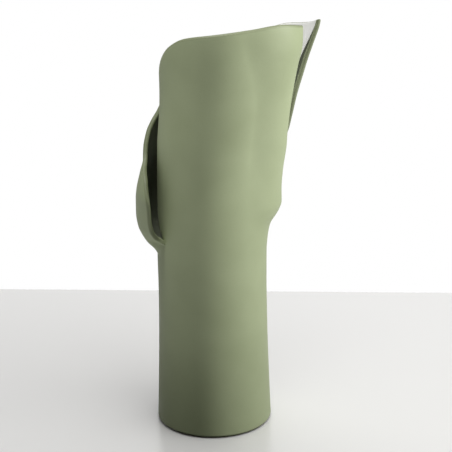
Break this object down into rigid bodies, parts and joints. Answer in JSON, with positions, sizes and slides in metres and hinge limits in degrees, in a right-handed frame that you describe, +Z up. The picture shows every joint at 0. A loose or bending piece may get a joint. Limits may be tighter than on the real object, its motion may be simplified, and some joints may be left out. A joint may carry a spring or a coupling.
{
  "type": "stoneware vase",
  "caption": "Tall round-footed stoneware vase opening into two overlapping leaves, with an ear on one side and a rising tip on the other, for holding stems and branches.",
  "frame": {"origin": "centre of the base slab's underside, on the surface that the vase stands on", "axes": "+Z up along the trunk, +X to the right towards the tip of the rear leaf, -Y to the front"},
  "size_m": [0.228, 0.1602, 0.4978],
  "materials": {
    "bare_stoneware": "unglazed fired clay, slightly sandy",
    "sage_matt_glaze": "smooth matt sage green",
    "white_gloss_glaze": "glossy white glaze"
  },
  "bodies": {
    "root": {"base_slab": "bare_stoneware", "trunk": "sage_matt_glaze", "front_leaf": "sage_matt_glaze", "rear_leaf": "sage_matt_glaze", "floor_lining": "white_gloss_glaze", "trunk_lining": "white_gloss_glaze", "front_leaf_lining": "white_gloss_glaze", "rear_leaf_lining": "white_gloss_glaze"}
  },
  "joints": []
}
